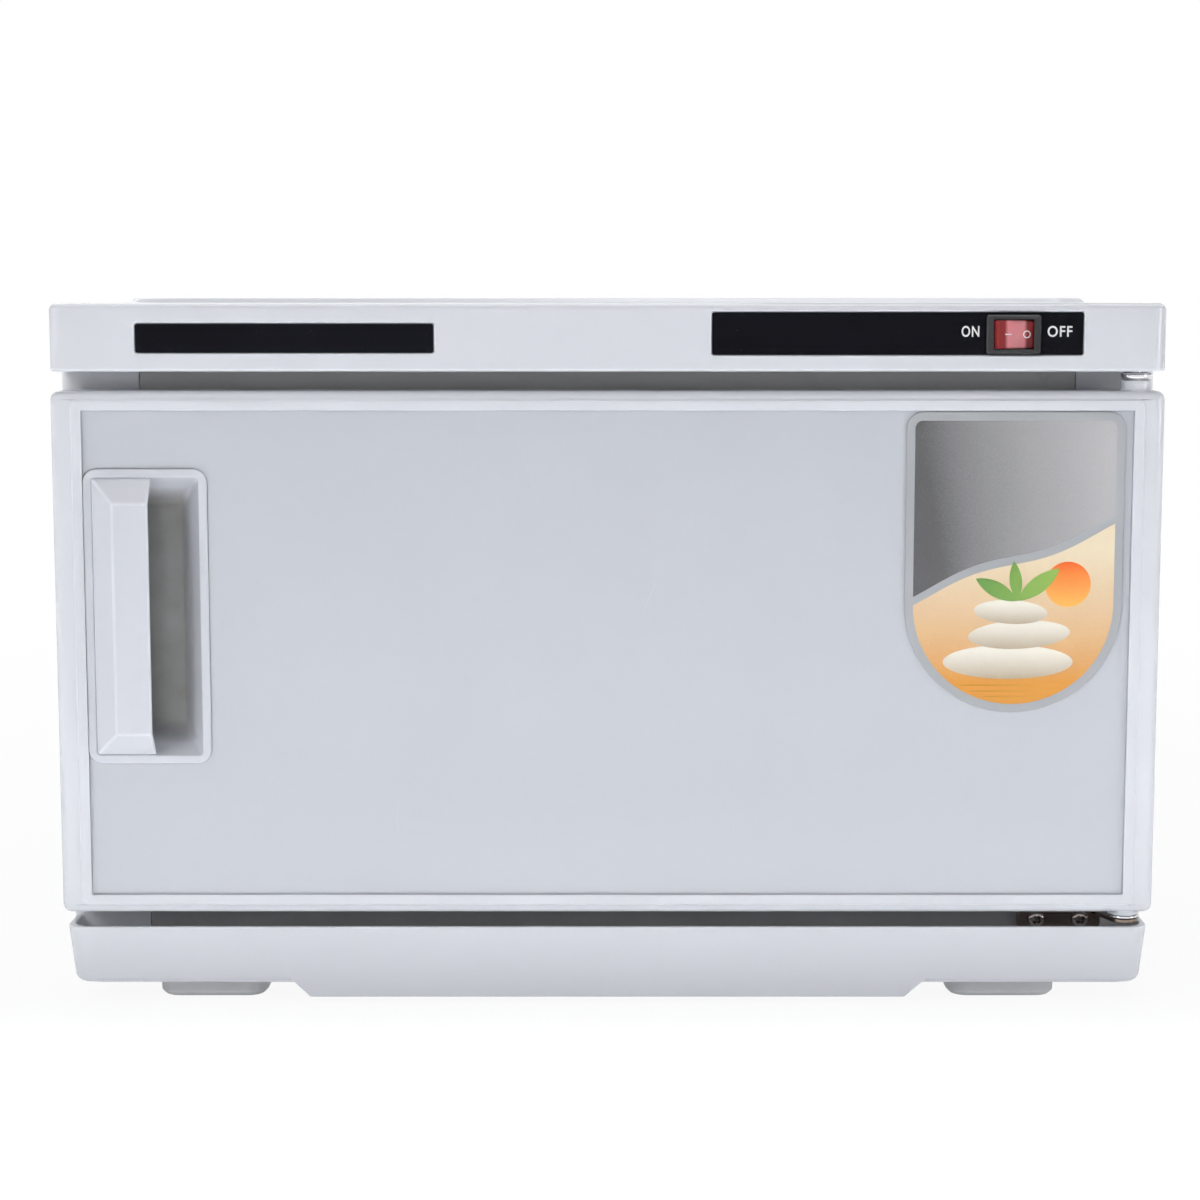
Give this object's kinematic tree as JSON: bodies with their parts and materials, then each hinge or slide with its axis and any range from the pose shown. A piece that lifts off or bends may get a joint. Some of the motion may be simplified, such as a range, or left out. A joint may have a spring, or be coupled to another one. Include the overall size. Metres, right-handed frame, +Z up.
{
  "type": "hot towel cabinet",
  "caption": "Countertop hot towel cabinet with a right-hinged front door, a recessed pull, a rocker switch, a heated aluminium chamber, a wire rack and a drip tray.",
  "frame": {"origin": "on the table, under the middle of the whole cabinet with its grip", "axes": "+X to the right of someone facing the door, +Y from the door to the rear, +Z up"},
  "size_m": [0.442, 0.324, 0.285],
  "materials": {
    "white_plastic": "glossy moulded",
    "white_paint": "fine satin powder coat",
    "white_panel": "high gloss",
    "grey_rubber": "matte",
    "grey_gasket": "matte",
    "black_gloss": "high gloss",
    "black_plastic": "satin",
    "red_plastic": "clear, glossy",
    "chrome": "bright plated",
    "aluminium": "satin",
    "zinc": "galvanised",
    "foam": "open cell",
    "heater_silicone": "matte",
    "nylon": "satin",
    "wire_blue": "satin",
    "label_print": "glossy print"
  },
  "bodies": {
    "cabinet": {"base_tray": "white_plastic", "bottom_cover": "zinc", "control_strip": "black_gloss", "cord_gland": "black_plastic", "drip_tray": "aluminium", "foot_front_left": "grey_rubber", "foot_front_right": "grey_rubber", "foot_rear_left": "grey_rubber", "foot_rear_right": "grey_rubber", "foot_screw_front_left": "chrome", "foot_screw_front_right": "chrome", "foot_screw_rear_left": "chrome", "foot_screw_rear_right": "chrome", "front_frame": "white_plastic", "heater_lead": "nylon", "heater_mat": "heater_silicone", "hinge_bracket_bottom": "chrome", "hinge_bracket_top": "chrome", "hinge_pin_bottom": "chrome", "hinge_pin_top": "chrome", "hinge_screw_bottom_1": "chrome", "hinge_screw_bottom_2": "chrome", "hinge_screw_top_1": "chrome", "hinge_screw_top_2": "chrome", "hinge_washer_bottom": "chrome", "hinge_washer_top": "chrome", "inner_liner": "aluminium", "insulation_bottom": "foam", "insulation_left": "foam", "insulation_rear": "foam", "insulation_right": "foam", "insulation_top": "foam", "rear_panel": "white_paint", "rear_screw_1": "chrome", "rear_screw_2": "chrome", "rear_screw_3": "chrome", "rear_screw_4": "chrome", "return_lead": "wire_blue", "side_panel_left": "white_paint", "side_panel_right": "white_paint", "supply_lead": "nylon", "switch_housing": "black_plastic", "terminal_block": "nylon", "thermal_fuse": "nylon", "thermostat": "aluminium", "title_strip": "black_gloss", "top_cover": "white_plastic", "top_panel": "zinc", "wire_rack": "chrome"},
    "door": {"door_frame": "white_plastic", "door_panel": "white_panel", "door_handle": "white_plastic", "door_liner": "aluminium", "door_insulation": "foam", "door_gasket": "grey_gasket", "door_label": "label_print", "hinge_bush_top": "nylon", "hinge_bush_bottom": "nylon"},
    "rocker": {"switch_rocker": "red_plastic"}
  },
  "joints": [
    {"name": "door_hinge", "type": "hinge", "parent": "cabinet", "child": "door", "pos_m": [0.2105, -0.1445, 0.143], "axis": [0, 0, 1], "range_deg": [0, 110]},
    {"name": "rocker_switch", "type": "hinge", "parent": "cabinet", "child": "rocker", "pos_m": [0.15975, -0.1507, 0.2708], "axis": [0, 0, -1], "range_deg": [0, 24]}
  ]
}
